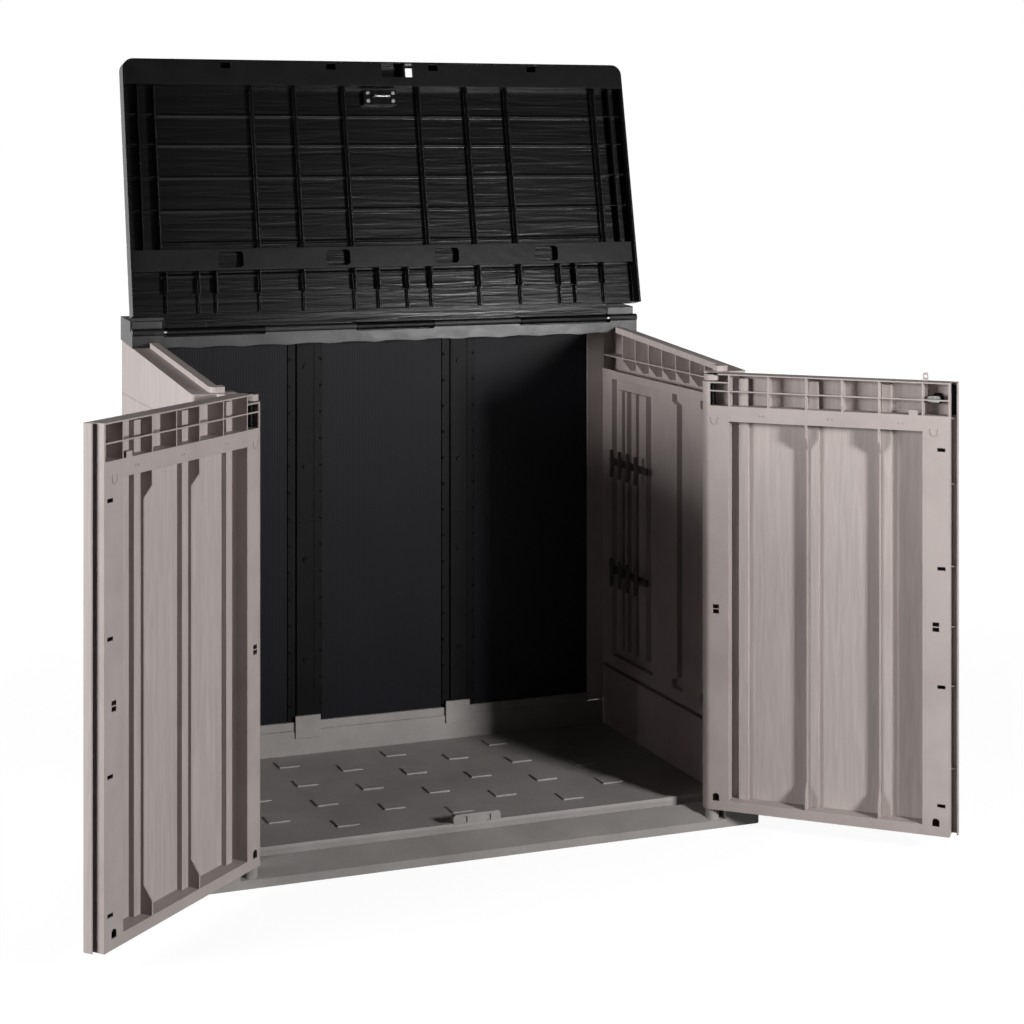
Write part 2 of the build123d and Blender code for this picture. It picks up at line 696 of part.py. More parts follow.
for y0, y1 in PANEL_CHANNELS:
    wide = y1 + CHANNEL_FLARE
    slant = CHANNEL_FLARE_RISE + CHANNEL_FLARE_SLANT
    mouth = [
        (y0, CHANNEL_FOOT),
        (wide, CHANNEL_FOOT),
        (wide, CHANNEL_FOOT + CHANNEL_FLARE_RISE),
        (y1, CHANNEL_FOOT + slant),
        (y1, CHANNEL_HEAD - slant),
        (wide, CHANNEL_HEAD - CHANNEL_FLARE_RISE),
        (wide, CHANNEL_HEAD),
        (y0, CHANNEL_HEAD),
    ]
    wall_panel += trough_backing(y0, wide)
    wall_panel -= along_x(mouth, PANEL_X - 1, trough_back)
bay_front = RACK_CHANNELS[0][0]
bay_back = RACK_CHANNELS[-1][1]
wall_panel += trough_backing(bay_front, bay_back)
for y0, y1 in RACK_CHANNELS:
    wall_panel -= block(PANEL_X - 1, trough_back, y0, y1, CHANNEL_FOOT, CHANNEL_HEAD)
for z0 in (CHANNEL_FOOT, CHANNEL_HEAD - CHANNEL_FLARE):
    wall_panel -= block(PANEL_X - 1, trough_back, bay_front, bay_back, z0, z0 + CHANNEL_FLARE)
strip_front = SHEET_FRONT - SHEET_PLAY - PANEL_SKIN
strip_back = sheet_back + SHEET_PLAY
strip_head = wall_top(SHEET_FRONT) - WALL_SKIN - 2
for y in (strip_front, strip_back):
    wall_panel += block(CORNER_STRIP_X, shell_x, y, y + PANEL_SKIN, REAR_SILL_TOP, strip_head)
for k in range(int((strip_head - SHEET_RAIL_TOP) / POST_TICK_PITCH)):
    z = SHEET_RAIL_TOP + (k + 0.6) * POST_TICK_PITCH
    wall_panel += clip_tick(CORNER_STRIP_X, CORNER_STRIP_X + 8, strip_front, z)
save("wall_right_panel", wall_panel)
save("wall_left_panel", flip(wall_panel))


def tool_rack(z):
    """Bar on the wall panel with upturned hooks above and downturned ones below."""
    bar_front = PANEL_X - RACK_BAR
    near = RACK_BACK_Y - RACK_LENGTH
    rack = block(bar_front, PANEL_X, near, RACK_BACK_Y, z, z + RACK_BAR_HEIGHT)
    tip_x = bar_front - HOOK_REACH
    root = z + RACK_BAR_HEIGHT / 2
    for k in range(RACK_HOOKS):
        y = near + (k + 0.5) * RACK_LENGTH / RACK_HOOKS
        for up in (1, -1):
            prong = [
                (bar_front + 1, root - up * HOOK_THICK),
                (tip_x, root - up * HOOK_THICK / 2),
                (tip_x, root + up * HOOK_TIP),
                (tip_x + HOOK_THICK, root + up * HOOK_TIP),
                (tip_x + HOOK_THICK + 3, root + up * HOOK_THICK / 2),
                (bar_front + 1, root + up * HOOK_THICK),
            ]
            rack += along_y(prong, y - HOOK_WIDTH / 2, y + HOOK_WIDTH / 2)
    return rack


save("tool_rack_lower", tool_rack(RACK_Z[0]))
save("tool_rack_upper", tool_rack(RACK_Z[1]))

# Hinge beam across the back, its end caps and the rod the lid turns on
outer_lug_end = BEAM_HALF - LUG_END_GAP
lug_spans = [
    (-outer_lug_end, -OUTER_LUG_START),
    (-MIDDLE_LUG_HALF, MIDDLE_LUG_HALF),
    (OUTER_LUG_START, outer_lug_end),
]
step_y = BEAM_FRONT + BEAM_STEP_DEPTH
beam_outline = [
    (BEAM_FRONT, wall_top(BEAM_FRONT) + BEAM_SEAT),
    (BEAM_FRONT, BEAM_STEP_Z),
    (step_y, BEAM_STEP_Z),
    (step_y, BEAM_TOP_FRONT),
    (WALL_BACK, BEAM_TOP_BACK),
    (WALL_BACK, wall_top(WALL_BACK) + BEAM_SEAT),
]
bar_foot = BEAM_STEP_Z - BEAM_BAR_HEIGHT
beam_hollow = [
    (BEAM_FRONT + BEAM_SKIN, WALL_TOP_FRONT),
    (BEAM_FRONT + BEAM_SKIN, bar_foot),
    (step_y + BEAM_SKIN, bar_foot),
    (step_y + BEAM_SKIN, BEAM_TOP_FRONT - BEAM_SKIN),
    (WALL_BACK - BEAM_SKIN, BEAM_TOP_BACK - BEAM_SKIN),
    (WALL_BACK - BEAM_SKIN, WALL_TOP_FRONT),
]
hinge_beam = along_x(beam_outline, -BEAM_HALF, BEAM_HALF) - along_x(beam_hollow, -BEAM_HALF, BEAM_HALF)
skirt_foot = wall_top(BEAM_FRONT) - SKIRT_DROP
hinge_beam += block(-BEAM_HALF, BEAM_HALF, BEAM_FRONT, BEAM_FRONT + BEAM_SKIN, skirt_foot, bar_foot)
scallop_half = SCALLOP_PITCH / 2 - 5
scallop = [(t * scallop_half, skirt_foot + SCALLOP_RISE * (1 - t * t)) for t in (-1, -0.5, 0, 0.5, 1)]
scallop += [(scallop_half, skirt_foot - 1), (-scallop_half, skirt_foot - 1)]
scallop_cut = along_y(scallop, BEAM_FRONT - 5, BEAM_FRONT + BEAM_SKIN + 2)
for k in range(SCALLOP_COUNT):
    hinge_beam -= Pos((k - (SCALLOP_COUNT - 1) / 2) * SCALLOP_PITCH, 0, 0) * scallop_cut
nose_spans = [
    (lug_spans[0][1] + LUG_SIDE_GAP, lug_spans[1][0] - LUG_SIDE_GAP),
    (lug_spans[1][1] + LUG_SIDE_GAP, lug_spans[2][0] - LUG_SIDE_GAP),
]
lug_bays = [
    (-BEAM_HALF - 1, nose_spans[0][0]),
    (nose_spans[0][1], nose_spans[1][0]),
    (nose_spans[1][1], BEAM_HALF + 1),
]
for x0, x1 in lug_bays:
    hinge_beam -= block(
        x0,
        x1,
        BEAM_FRONT - 1,
        HINGE_Y + KNUCKLE_R + KNUCKLE_GAP,
        HINGE_Z - KNUCKLE_R - KNUCKLE_GAP,
        BEAM_STEP_Z + 1,
    )
for x0, x1 in nose_spans:
    hinge_beam += prism_x(KNUCKLE_R, 12, x0, x1, HINGE_Y, HINGE_Z)
hinge_beam -= bar_x(HINGE_ROD_R + PIN_PLAY, -BEAM_HALF - 1, BEAM_HALF + 1, HINGE_Y, HINGE_Z)
save("hinge_beam", hinge_beam)
cap_end = BEAM_HALF + BEAM_CAP
beam_cap = along_x(beam_outline, BEAM_HALF, cap_end) - along_x(beam_hollow, BEAM_HALF, cap_end - BEAM_SKIN)
beam_cap += block(
    BEAM_HALF, cap_end - CAP_BLOCK_INSET, CAP_BLOCK_FRONT, step_y + 1, BEAM_STEP_Z - 1, CAP_BLOCK_TOP
)
beam_cap += prism_x(KNUCKLE_R, 12, BEAM_HALF, cap_end, HINGE_Y, HINGE_Z)
rod_end = BEAM_HALF + HINGE_ROD_GRIP
beam_cap -= bar_x(HINGE_ROD_R + PIN_PLAY, BEAM_HALF - 1, rod_end + 0.5, HINGE_Y, HINGE_Z)
save("beam_cap_right", beam_cap)
save("beam_cap_left", flip(beam_cap))
save("lid_hinge_rod", bar_x(HINGE_ROD_R, -rod_end, rod_end, HINGE_Y, HINGE_Z))

# Lid, drawn lying flat: y is minus the distance along from the hinge end, z is up from the rim
lid_half = LID_WIDTH / 2
skin_under = LID_DEPTH - LID_SKIN
lug_reach = HINGE_BEHIND
door_free_x = PIVOT_X + EDGE_OFFSET - FRAME_WIDTH
tongue_x = door_free_x + TONGUE_EDGE
skin_back = HINGE_BEHIND - KNUCKLE_R - KNUCKLE_GAP


def lid_place(shape):
    """Put a flat-drawn lid piece into the open rest pose."""
    turn = Rot(-(90 + LID_LEAN), 0, 0)
    return Pos(0, HINGE_Y, HINGE_Z) * turn * Pos(0, -HINGE_BEHIND, -HINGE_UP) * shape


lid_blank = block(-lid_half, lid_half, -LID_LENGTH, 0, 0, LID_DEPTH)
front_corners = lid_blank.edges().filter_by(Axis.Z).group_by(Axis.Y)[0]
lid_blank = fillet(front_corners, LID_CORNER_R)
lid_core = block(-lid_half + LID_SKIN, lid_half - LID_SKIN, -LID_LENGTH + LID_SKIN, -LID_SKIN, -1, skin_under)
core_corners = lid_core.edges().filter_by(Axis.Z).group_by(Axis.Y)[0]
lid_core = fillet(core_corners, LID_CORNER_R - LID_SKIN)
lid_shell = lid_blank - lid_core
lid_shell -= block(-lid_half + LID_SKIN, lid_half - LID_SKIN, -LID_SKIN - 1, 1, -1, LID_REAR_CLEAR)
for along in LID_PLANK_LINES:
    ridge = [
        (-along - PLANK_GROOVE_WIDTH / 2 - 2, skin_under + 0.5),
        (-along, skin_under - PLANK_GROOVE_DEPTH),
        (-along + PLANK_GROOVE_WIDTH / 2 + 2, skin_under + 0.5),
    ]
    lid_shell += along_x(ridge, -LID_RIBS_SIDE[0], LID_RIBS_SIDE[0])
    vee = [
        (-along - PLANK_GROOVE_WIDTH / 2, LID_DEPTH + 0.5),
        (-along, LID_DEPTH - PLANK_GROOVE_DEPTH),
        (-along + PLANK_GROOVE_WIDTH / 2, LID_DEPTH + 0.5),
    ]
    lid_shell -= along_x(vee, -lid_half - 1, lid_half + 1)
flap_half = BEAM_HALF - LUG_SIDE_GAP
lid_shell += block(-flap_half, flap_half, -1, skin_back, skin_under, LID_DEPTH)
front_rail_along = LID_LENGTH - LID_SKIN - FRONT_RAIL_WIDTH
for side in (-1, 1):
    for x in LID_RIBS_MAIN:
        lid_shell += block(
            side * x - LID_RIB / 2,
            side * x + LID_RIB / 2,
            -front_rail_along + 0.3,
            -REAR_RAIL_ALONG[1] - 0.3,
            LID_RIB_CLEAR,
            skin_under + 1,
        )
    for x in LID_RIBS_REAR:
        x0 = side * x - LID_RIB / 2
        x1 = side * x + LID_RIB / 2
        lid_shell += block(x0, x1, -REAR_RAIL_ALONG[0] + 0.3, -LID_REAR_STEP, LID_RIB_CLEAR, skin_under + 1)
        lid_shell += block(x0, x1, -LID_REAR_STEP - 1, -1, LID_STEP_CLEAR, skin_under + 1)
    for x in LID_RIBS_SIDE:
        lid_shell += block(
            side * x - LID_RIB / 2,
            side * x + LID_RIB / 2,
            -front_rail_along + 0.3,
            -REAR_RAIL_ALONG[1] - 0.3,
            LID_SIDE_RIB_CLEAR,
            skin_under + 1,
        )
    for along in LID_CROSS_RIBS:
        inner = side * LID_RIBS_SIDE[0]
        outer = side * (lid_half - LID_SKIN + 1)
        lid_shell += block(
            min(inner, outer),
            max(inner, outer),
            -along - LID_RIB / 2,
            -along + LID_RIB / 2,
            LID_CROSS_CLEAR,
            skin_under + 1,
        )
lid_shell += block(
    -lid_half + LID_SKIN - 1,
    lid_half - LID_SKIN + 1,
    -LID_REAR_STEP - LID_RIB,
    -LID_REAR_STEP,
    LID_STEP_RIB_CLEAR,
    skin_under + 1,
)
hasp_under = skin_under - HASP_BOSS
hasp_mid_x = (HASP_X[0] + HASP_X[1]) / 2
hasp_mid_along = (HASP_ALONG[0] + HASP_ALONG[1]) / 2
lid_shell += block(HASP_X[0], HASP_X[1], -HASP_ALONG[1], -HASP_ALONG[0], hasp_under, skin_under + 1)
for x0, x1 in lug_spans:
    lid_shell += block(x0, x1, -1, lug_reach, skin_under, LID_DEPTH)
    lid_shell += prism_x(KNUCKLE_R, 12, x0, x1, HINGE_BEHIND, HINGE_UP)
lid_shell -= bar_x(HINGE_ROD_R + PIN_PLAY, -lid_half - 1, lid_half + 1, HINGE_BEHIND, HINGE_UP)
for x in LUG_CLIPS_X:
    clip_near = LUG_CLIP_BEHIND - LUG_CLIP[1] / 2
    clip_under = skin_under - LUG_CLIP[2]
    clip_half = LUG_CLIP[0] / 2
    clip_far = clip_near + LUG_CLIP[1]
    lid_shell += block(x - clip_half, x + clip_half, clip_near, clip_far, clip_under, skin_under + 1)
slit_x0 = tongue_x + SLIT_SPAN[0]
slit_x1 = tongue_x + SLIT_SPAN[1]
lid_shell -= block(slit_x0, slit_x1, -SLIT_ALONG[1], -SLIT_ALONG[0], -1, LID_DEPTH + 1)
save("lid_shell", lid_place(lid_shell))

rail_half = lid_half - LID_SKIN
front_edge = -LID_LENGTH + LID_SKIN
lid_front_rail = lid_core & block(-rail_half, rail_half, front_edge, -front_rail_along, 0, FRONT_RAIL_SKIN)
lid_front_rail += block(
    -rail_half, rail_half, -front_rail_along - FRONT_RAIL_SKIN, -front_rail_along, 0, skin_under
)
for x in RAIL_SLOTS_X:
    half_x = RAIL_SLOT[0] / 2
    half_y = RAIL_SLOT[1] / 2
    lid_front_rail -= block(
        x - half_x, x + half_x, -RAIL_SLOT_ALONG - half_y, -RAIL_SLOT_ALONG + half_y, -1, FRONT_RAIL_SKIN + 1
    )
notch_x0 = tongue_x + NOTCH_SPAN[0]
notch_x1 = tongue_x + NOTCH_SPAN[1]
lid_front_rail -= block(notch_x0, notch_x1, -NOTCH_ALONG[1] - 1, -NOTCH_ALONG[0], -1, FRONT_RAIL_SKIN + 1)
wall_x = tongue_x + NOTCH_WALL
lid_front_rail += block(wall_x, wall_x + LID_RIB, -NOTCH_ALONG[1], -NOTCH_ALONG[0] + 4, 0, skin_under)
save("lid_front_rail", lid_place(lid_front_rail))

rear_near = -REAR_RAIL_ALONG[1]
rear_far = -REAR_RAIL_ALONG[0]
rear_half = lid_half - LID_SKIN
rear_channel = [
    (rear_near, skin_under),
    (rear_near, REAR_RAIL_CLEAR),
    (rear_far, REAR_RAIL_CLEAR),
    (rear_far, skin_under),
    (rear_far - REAR_RAIL_SKIN, skin_under),
    (rear_far - REAR_RAIL_SKIN, REAR_RAIL_CLEAR + REAR_RAIL_SKIN),
    (rear_near + REAR_RAIL_SKIN, REAR_RAIL_CLEAR + REAR_RAIL_SKIN),
    (rear_near + REAR_RAIL_SKIN, skin_under),
]
lid_rear_rail = along_x(rear_channel, -rear_half, rear_half)
rear_mid = (rear_near + rear_far) / 2
half_x = WINDOW_SIZE[0] / 2
half_y = WINDOW_SIZE[1] / 2
for x in WINDOW_X:
    opening = [
        (x - half_x, rear_mid - half_y + WINDOW_CORNER),
        (x - half_x + WINDOW_CORNER, rear_mid - half_y),
        (x + half_x - WINDOW_CORNER, rear_mid - half_y),
        (x + half_x, rear_mid - half_y + WINDOW_CORNER),
        (x + half_x, rear_mid + half_y - WINDOW_CORNER),
        (x + half_x - WINDOW_CORNER, rear_mid + half_y),
        (x - half_x + WINDOW_CORNER, rear_mid + half_y),
        (x - half_x, rear_mid + half_y - WINDOW_CORNER),
    ]
    lid_rear_rail -= along_z(opening, REAR_RAIL_CLEAR - 1, REAR_RAIL_CLEAR + REAR_RAIL_SKIN + 1)
save("lid_rear_rail", lid_place(lid_rear_rail))

# Hasp under the lid: plate, four bolts and a staple bar
plate_under = hasp_under - HASP_PLATE
hasp_plate = block(HASP_X[0], HASP_X[1], -HASP_ALONG[1], -HASP_ALONG[0], plate_under, hasp_under)
bolt_dx = (HASP_X[1] - HASP_X[0]) / 2 - 9
bolt_dy = (HASP_ALONG[1] - HASP_ALONG[0]) / 2 - 8
bolts = []
for sx in (-1, 1):
    for sy in (-1, 1):
        x = hasp_mid_x + sx * bolt_dx
        y = -hasp_mid_along + sy * bolt_dy
        head = extrude(RegularPolygon(HASP_BOLT_R, 8), HASP_BOLT_HEAD)
        bolts.append(Pos(x, y, plate_under - HASP_BOLT_HEAD) * head)
save("hasp_plate", lid_place(hasp_plate))
save("hasp_bolts", lid_place(Compound(children=bolts)))
leg_x = HASP_BAR_SPAN / 2
bar_low = plate_under - HASP_BAR_RISE
leg = extrude(RegularPolygon(HASP_BAR_R, 8), HASP_BAR_RISE)
staple = Pos(hasp_mid_x - leg_x, -hasp_mid_along, bar_low) * leg
staple += Pos(hasp_mid_x + leg_x, -hasp_mid_along, bar_low) * leg
bar = extrude(Plane.YZ * RegularPolygon(HASP_BAR_R, 8), 2 * (leg_x + HASP_BAR_R), dir=(1, 0, 0))
staple += Pos(hasp_mid_x - leg_x - HASP_BAR_R, -hasp_mid_along, bar_low + HASP_BAR_R) * bar
save("hasp_staple", lid_place(staple))

# Doors, drawn closed on the right side: a planked skin and a cellular frame snapped to it
door_out = PIVOT_Y - DOOR_THICK / 2
door_in = PIVOT_Y + DOOR_THICK / 2
skin_in = door_out + DOOR_SKIN
face_back = door_in - DOOR_FACE
barrel_r = DOOR_THICK / 2
edge_x = PIVOT_X + EDGE_OFFSET
free_x = door_free_x


def spot(a):
    """Closed x of a place measured from the hinge edge of the door."""
    return edge_x - a


def door_place(shape):
    """Swing a closed right door piece open to the rest pose."""
    return Pos(PIVOT_X, PIVOT_Y, 0) * Rot(0, 0, DOOR_OPEN) * Pos(-PIVOT_X, -PIVOT_Y, 0) * shape


step_cut = block(
    PIVOT_X - DOOR_STEP, PIVOT_X + 2 * barrel_r, door_out - 1, door_in + 1, DOOR_STEP_Z, DOOR_TOP + 20
)


def hump(a, grow):
    """Closed hollow ridge along the skin, or its envelope grown by a clearance."""
    x0 = spot(a + HUMP_WIDTH) - grow
    x1 = spot(a) + grow
    return block(x0, x1, skin_in - 1, skin_in + HUMP_HEIGHT + grow, DOOR_FOOT, HUMP_TOP + grow)


def door_skin(lap, rib_heights):
    """Outer skin with vertical plank grooves, ridges inside and a turned free edge."""
    start = free_x - lap
    outline = [(start, skin_in), (start, door_out + 1.5), (start + 1.5, door_out)]
    for k in range(1, int((PIVOT_X - start) / PLANK_PITCH)):
        x = start + k * PLANK_PITCH
        outline.append((x - DOOR_GROOVE / 2, door_out))
        outline.append((x, door_out + DOOR_GROOVE_DEPTH))
        outline.append((x + DOOR_GROOVE / 2, door_out))
    outline += [(PIVOT_X, door_out), (PIVOT_X, skin_in)]
    skin = along_z(outline, DOOR_FOOT, DOOR_TOP)
    lip_in = door_out + SKIN_LIP_DEPTH
    skin += block(start, start + SKIN_LIP, skin_in - 1, lip_in, DOOR_FOOT, DOOR_TOP)
    for z in rib_heights:
        skin += block(
            start + SKIN_LIP - 1,
            free_x - HUMP_PLAY,
            skin_in - 1,
            skin_in + LIP_RIB_DEPTH,
            z - LIP_RIB / 2,
            z + LIP_RIB / 2,
        )
    for a in HUMPS:
        skin += hump(a, 0)
        skin -= block(
            spot(a + HUMP_WIDTH) + HUMP_WALL,
            spot(a) - HUMP_WALL,
            skin_in,
            skin_in + HUMP_HEIGHT - HUMP_WALL,
            DOOR_FOOT - 1,
            HUMP_TOP - HUMP_WALL,
        )
    return skin - step_cut


window_x0 = free_x + FREE_STILE
window_x1 = spot(HINGE_STILE)
fin_low = skin_in + FIN_LOW
fin_side = [
    (skin_in, WINDOW_FOOT - 1),
    (door_in, WINDOW_FOOT - 1),
    (door_in, WINDOW_FOOT + FIN_END),
    (fin_low, WINDOW_FOOT + FIN_END + FIN_SLANT),
    (fin_low, WINDOW_HEAD - FIN_END - FIN_SLANT),
    (door_in, WINDOW_HEAD - FIN_END),
    (door_in, WINDOW_HEAD + 1),
    (skin_in, WINDOW_HEAD + 1),
]


def door_frame():
    """Inner frame with rounded hinge edge, stiles, fins across its window and a band of open cells."""
    frame = block(free_x, PIVOT_X, face_back, door_in, DOOR_FOOT, BAND_Z)
    frame += block(free_x, free_x + DOOR_WALL, skin_in, door_in, DOOR_FOOT, DOOR_TOP)
    for z0 in (DOOR_FOOT, BAND_Z, DOOR_TOP - DOOR_WALL):
        frame += block(free_x, PIVOT_X, skin_in, door_in, z0, z0 + DOOR_WALL)
    rib_z0 = BAND_RIB_Z - DOOR_WALL / 2
    frame += block(free_x, PIVOT_X, face_back, door_in, rib_z0, rib_z0 + DOOR_WALL)
    for x in [window_x0, window_x1] + [spot(a) for a in BAND_CELLS]:
        frame += block(x - DOOR_WALL / 2, x + DOOR_WALL / 2, skin_in, door_in, BAND_Z, DOOR_TOP)
    stop_top = BAND_Z + DOOR_WALL + BAND_STOP_RISE
    stop_front = door_in - BAND_STOP_DEPTH
    frame += block(free_x + BAND_STOP[0], free_x + BAND_STOP[1], stop_front, door_in, BAND_Z, stop_top)
    frame += block(
        window_x0 - DOOR_WALL,
        window_x1 + DOOR_WALL,
        skin_in,
        face_back + 1,
        WINDOW_FOOT - DOOR_WALL,
        WINDOW_HEAD + DOOR_WALL,
    )
    frame -= block(window_x0, window_x1, skin_in - 1, door_in + 1, WINDOW_FOOT, WINDOW_HEAD)
    for a in FINS:
        frame += along_x(fin_side, spot(a + FIN_THICK), spot(a))
    tube = bar_z(barrel_r, PIVOT_X, PIVOT_Y, DOOR_FOOT, DOOR_STEP_Z)
    tube -= bar_z(barrel_r - DOOR_FACE, PIVOT_X, PIVOT_Y, DOOR_FOOT, DOOR_STEP_Z)
    tube &= block(PIVOT_X, PIVOT_X + barrel_r + 1, door_out - 1, door_in + 1, DOOR_FOOT, DOOR_STEP_Z)
    frame += tube
    for z0 in (DOOR_FOOT, BAND_Z, DOOR_STEP_Z - DOOR_WALL):
        z1 = z0 + DOOR_WALL
        plate = bar_z(barrel_r, PIVOT_X, PIVOT_Y, z0, z1)
        plate &= block(PIVOT_X, PIVOT_X + barrel_r + 1, door_out - 1, door_in + 1, z0, z1)
        plate += block(window_x1, PIVOT_X, skin_in, door_in, z0, z1)
        frame += plate
    frame += prism_z(BARREL_BOSS_R, 12, PIVOT_X, PIVOT_Y, DOOR_FOOT, DOOR_FOOT + PIN_GRIP)
    frame -= bar_z(PIN_R + PIN_PLAY, PIVOT_X, PIVOT_Y, DOOR_FOOT - 1, DOOR_FOOT + PIN_GRIP + 1)
    frame -= bar_z(PIN_R + PIN_PLAY, PIVOT_X, PIVOT_Y, BAND_RIB_Z, DOOR_STEP_Z + 1)
    frame -= step_cut
    for a in HUMPS:
        frame -= hump(a, HUMP_PLAY)
    face = (face_back - 1, door_in + 1)
    for x in (spot(LATCH_HINGE_SIDE), free_x + LATCH_FREE_SIDE):
        half = LATCH_HOLE[0] / 2
        rise = LATCH_HOLE[1] / 2
        bar = LATCH_BAR / 2
        frame -= block(x - half, x + half, *face, LATCH_Z - rise, LATCH_Z + rise)
        frame += block(x - half, x + half, face_back, door_in, LATCH_Z - bar, LATCH_Z + bar)
        half = ARCH_HOLE[0] / 2
        head = ARCH_Z + ARCH_HOLE[1]
        arch = [
            (x - half, ARCH_Z),
            (x + half, ARCH_Z),
            (x + half, head - ARCH_CORNER),
            (x + half - ARCH_CORNER, head),
            (x - half + ARCH_CORNER, head),
            (x - half, head - ARCH_CORNER),
        ]
        frame -= along_y(arch, *face)
    for z in EDGE_SLOTS_Z:
        half = EDGE_SLOT_HEIGHT / 2
        frame -= block(free_x + EDGE_SLOT[0], free_x + EDGE_SLOT[1], *face, z - half, z + half)
    return frame


frame = door_frame()
lip_ribs = int((DOOR_TOP - DOOR_FOOT) / LIP_RIB_PITCH_LEFT)
left_ribs = [DOOR_FOOT + (k + 0.5) * LIP_RIB_PITCH_LEFT for k in range(lip_ribs)]
save("door_left_skin", flip(door_place(door_skin(SKIN_LAP_LEFT, left_ribs))))
save("door_left_frame", flip(door_place(frame)))

tongue_front = skin_in
tongue_back = skin_in + TONGUE_THICK
tongue_half = TONGUE_WIDTH / 2
lock_x = free_x + LOCK_EDGE
right_skin = door_skin(SKIN_LAP, LIP_RIBS_Z)
right_skin -= prism_y(LOCK_R + LOCK_PLAY, 16, lock_x, door_out - 1, skin_in + 1, LOCK_Z)
save("door_right_skin", door_place(right_skin))
right_frame = frame - block(
    tongue_x - tongue_half - TONGUE_PLAY,
    tongue_x + tongue_half + TONGUE_PLAY,
    skin_in - 1,
    tongue_back + TONGUE_PLAY,
    TONGUE_FOOT - TONGUE_PLAY,
    DOOR_TOP + 1,
)
save("door_right_frame", door_place(right_frame))

tongue = block(
    tongue_x - tongue_half, tongue_x + tongue_half, tongue_front, tongue_back, TONGUE_FOOT, TONGUE_TOP
)
tongue = fillet(tongue.edges().filter_by(Axis.Y).group_by(Axis.Z)[-1], tongue_half * 0.8)
tongue -= bar_y(TONGUE_HOLE_R, tongue_x, tongue_front - 1, tongue_back + 1, TONGUE_TOP - 8)
save("lock_tongue", door_place(tongue))

lock_back = skin_in + LOCK_REACH
lock_face = door_out - LOCK_FACE
lock_body = prism_y(LOCK_R, 16, lock_x, door_out, lock_back, LOCK_Z)
lock_body += prism_y(LOCK_FACE_R, 16, lock_x, lock_face, door_out, LOCK_Z)
lock_body += prism_y(LOCK_FACE_R, 6, lock_x, skin_in, skin_in + LOCK_NUT, LOCK_Z)
key_x = lock_x - KEY_SLOT[0] / 2
key_low = LOCK_Z - KEY_SLOT[1] / 2
lock_body -= block(key_x, key_x + KEY_SLOT[0], lock_face - 1, lock_face + 2, key_low, key_low + KEY_SLOT[1])
lock_body -= prism_y(CAM_SHAFT_R + CAM_PLAY, 16, lock_x, lock_back - CAM_SHAFT - 1, lock_back + 1, LOCK_Z)
save("cam_lock_body", door_place(lock_body))

cam_front = lock_back + 0.5
cam_back = cam_front + CAM_THICK
cam_half = CAM_WIDTH / 2
cam_outline = [
    (lock_x - cam_half - 1, LOCK_Z - cam_half + 2),
    (lock_x - cam_half + 3, LOCK_Z - cam_half - 1),
    (lock_x + CAM_LENGTH - 4, LOCK_Z - cam_half),
    (lock_x + CAM_LENGTH, LOCK_Z - cam_half + 4),
    (lock_x + CAM_LENGTH, LOCK_Z + cam_half - 4),
    (lock_x + CAM_LENGTH - 4, LOCK_Z + cam_half),
    (lock_x - cam_half + 3, LOCK_Z + cam_half + 1),
    (lock_x - cam_half - 1, LOCK_Z + cam_half - 2),
]
cam = along_y(cam_outline, cam_front, cam_back)
cam += prism_y(CAM_SHAFT_R, 16, lock_x, lock_back - CAM_SHAFT, cam_front + 1, LOCK_Z)
cam += prism_y(CAM_NUT_R, 6, lock_x, cam_back - 1, cam_back + CAM_THICK, LOCK_Z)
save("cam_lock_cam", door_place(cam))

catch_edge = free_x - CATCH_GAP
catch = block(catch_edge - CATCH_WIDTH, catch_edge, skin_in, skin_in + CATCH_DEPTH, CATCH_FOOT, CATCH_HEAD)
catch_pitch = (CATCH_HEAD - CATCH_FOOT) / CATCH_HOLES
for k in range(CATCH_HOLES):
    z = CATCH_FOOT + (k + 0.5) * catch_pitch
    catch -= prism_y(CATCH_HOLE_R, 8, catch_edge - CATCH_WIDTH / 2, skin_in + 3, skin_in + CATCH_DEPTH + 1, z)
for k in range(1, CATCH_HOLES):
    z = CATCH_FOOT + k * catch_pitch
    catch -= prism_y(CATCH_NICK_R, 8, catch_edge - CATCH_WIDTH, skin_in + 3, skin_in + CATCH_DEPTH + 1, z)
save("edge_catch", door_place(catch))

# Door pivot pins: one in each base socket and one in each wall bracket
pin_low = bar_z(PIN_R, PIVOT_X, PIVOT_Y, socket_top - PIN_GRIP, DOOR_FOOT + PIN_GRIP)
pin_high = bar_z(PIN_R, PIVOT_X, PIVOT_Y, BAND_Z + DOOR_WALL + PIN_END_GAP, BRACKET_TOP + 1)
pin_high += prism_z(PIN_HEAD_R, 16, PIVOT_X, PIVOT_Y, BRACKET_TOP, BRACKET_TOP + PIN_HEAD)
pins_right = Compound(children=[pin_low, pin_high])
save("door_right_pins", pins_right)
save("door_left_pins", flip(pins_right))
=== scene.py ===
"""Resin storage shed with its lid and doors open: finishes, small moulded details and studio set-up."""
from math import radians

